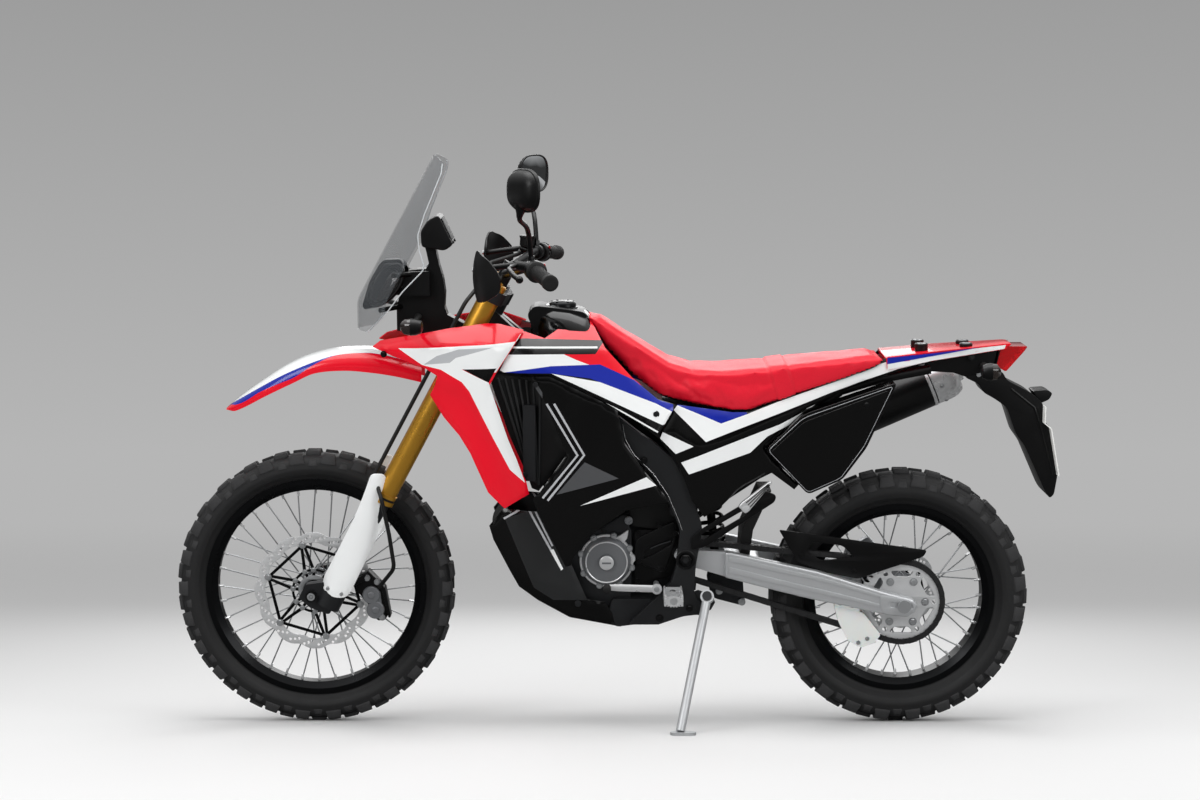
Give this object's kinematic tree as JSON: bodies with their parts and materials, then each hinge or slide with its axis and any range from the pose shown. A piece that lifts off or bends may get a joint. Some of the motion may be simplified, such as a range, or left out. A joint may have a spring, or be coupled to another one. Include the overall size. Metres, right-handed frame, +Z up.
{
  "type": "dual sport motorcycle",
  "caption": "Dual sport motorcycle with fork steering, spoked wheels that turn and a folding side stand, shown leaning as it parks",
  "frame": {"origin": "centre of the bounding box at ground level", "axes": "+X forward, +Y to the rider's left, +Z up; the machine leans 10 degrees to its left on the side stand"},
  "size_m": [2.1844, 0.8633, 1.4517],
  "materials": {
    "belly_pan": "moulded",
    "brake_hose": "smooth",
    "chain": "oiled roller chain",
    "chain_guard": "moulded",
    "chain_guide": "milky nylon",
    "controls": "satin black",
    "engine": "cast, painted",
    "engine_covers": "cast, satin grey",
    "exhaust_pipe": "stainless steel",
    "fairing_stay": "satin black",
    "foot_controls": "forged",
    "footpegs": "serrated steel",
    "fork_clamps": "cast, satin",
    "fork_guards": "moulded",
    "fork_sliders": "machined foot and polished stem",
    "fork_tubes": "gold anodised",
    "frame": "matt dark grey",
    "front_axle": "turned",
    "front_caliper": "cast",
    "front_disc": "ground stainless steel",
    "front_fender": "moulded",
    "front_hub_spokes": "cast hub with zinc plated spokes",
    "front_rim": "black anodised",
    "front_sprocket": "machined",
    "front_tyre": "block tread rubber",
    "fuel_tank": "moulded",
    "grips": "ribbed",
    "hand_guards": "moulded",
    "handlebar": "satin black",
    "headlight": "clear lens in a dark bezel",
    "inner_mudguard": "flap",
    "instrument": "moulded",
    "mirrors": "moulded shells on steel stems",
    "muffler": "satin black",
    "number_plate": "blank white sheet",
    "rack_bosses": "turned, threaded M8",
    "radiator": "black finned core",
    "rear_axle": "turned",
    "rear_caliper": "cast",
    "rear_disc": "ground stainless steel",
    "rear_fender": "moulded",
    "rear_hub_spokes": "cast hub with zinc plated spokes",
    "rear_rim": "black anodised",
    "rear_shock": "spring over a damper",
    "rear_sprocket": "machined",
    "rear_tyre": "block tread rubber",
    "seat": "red grained vinyl",
    "shrouds": "moulded, blue and white stripes",
    "side_box": "moulded",
    "side_covers": "moulded, red, blue and white stripes",
    "side_fairings": "moulded, silver lines",
    "side_stand": "satin black",
    "subframe": "satin black",
    "swingarm": "brushed",
    "tail_cover": "moulded",
    "tail_light": "red lens",
    "tank_covers": "moulded, red and white stripes",
    "turn_signals": "smoked lenses on rubber stalks",
    "windscreen": "clear polycarbonate"
  },
  "bodies": {
    "chassis": {"belly_pan": "belly_pan", "chain": "chain", "chain_guard": "chain_guard", "chain_guide": "chain_guide", "engine": "engine", "engine_covers": "engine_covers", "exhaust_pipe": "exhaust_pipe", "fairing_stay": "fairing_stay", "foot_controls": "foot_controls", "footpegs": "footpegs", "frame": "frame", "front_sprocket": "front_sprocket", "fuel_tank": "fuel_tank", "headlight": "headlight", "inner_mudguard": "inner_mudguard", "instrument": "instrument", "muffler": "muffler", "number_plate": "number_plate", "rack_bosses": "rack_bosses", "radiator": "radiator", "rear_axle": "rear_axle", "rear_caliper": "rear_caliper", "rear_fender": "rear_fender", "rear_shock": "rear_shock", "seat": "seat", "shrouds": "shrouds", "side_box": "side_box", "side_covers": "side_covers", "side_fairings": "side_fairings", "subframe": "subframe", "swingarm": "swingarm", "tail_cover": "tail_cover", "tail_light": "tail_light", "tank_covers": "tank_covers", "turn_signals": "turn_signals", "windscreen": "windscreen"},
    "steering": {"fork_tubes": "fork_tubes", "fork_sliders": "fork_sliders", "fork_guards": "fork_guards", "fork_clamps": "fork_clamps", "handlebar": "handlebar", "grips": "grips", "controls": "controls", "mirrors": "mirrors", "hand_guards": "hand_guards", "front_fender": "front_fender", "front_caliper": "front_caliper", "front_axle": "front_axle", "brake_hose": "brake_hose"},
    "front_wheel": {"front_tyre": "front_tyre", "front_rim": "front_rim", "front_hub_spokes": "front_hub_spokes", "front_disc": "front_disc"},
    "rear_wheel": {"rear_tyre": "rear_tyre", "rear_rim": "rear_rim", "rear_hub_spokes": "rear_hub_spokes", "rear_disc": "rear_disc", "rear_sprocket": "rear_sprocket"},
    "side_stand": {"side_stand": "side_stand"}
  },
  "joints": [
    {"name": "steering", "type": "hinge", "parent": "chassis", "child": "steering", "pos_m": [0.68999, -0.16658, 0.31399], "axis": [-0.4726, 0.153, 0.8679], "range_deg": [-40, 40]},
    {"name": "front_wheel_spin", "type": "hinge", "parent": "steering", "child": "front_wheel", "pos_m": [0.74575, -0.16139, 0.34343], "axis": [0, 0.9848, -0.1736], "continuous": true},
    {"name": "rear_wheel_spin", "type": "hinge", "parent": "chassis", "child": "rear_wheel", "pos_m": [-0.70925, -0.16547, 0.32029], "axis": [0, 0.9848, -0.1736], "continuous": true},
    {"name": "side_stand_fold", "type": "hinge", "parent": "chassis", "child": "side_stand", "pos_m": [-0.22525, -0.01271, 0.3228], "axis": [0.1138, 0.9315, 0.3454], "range_deg": [0, 108]}
  ]
}
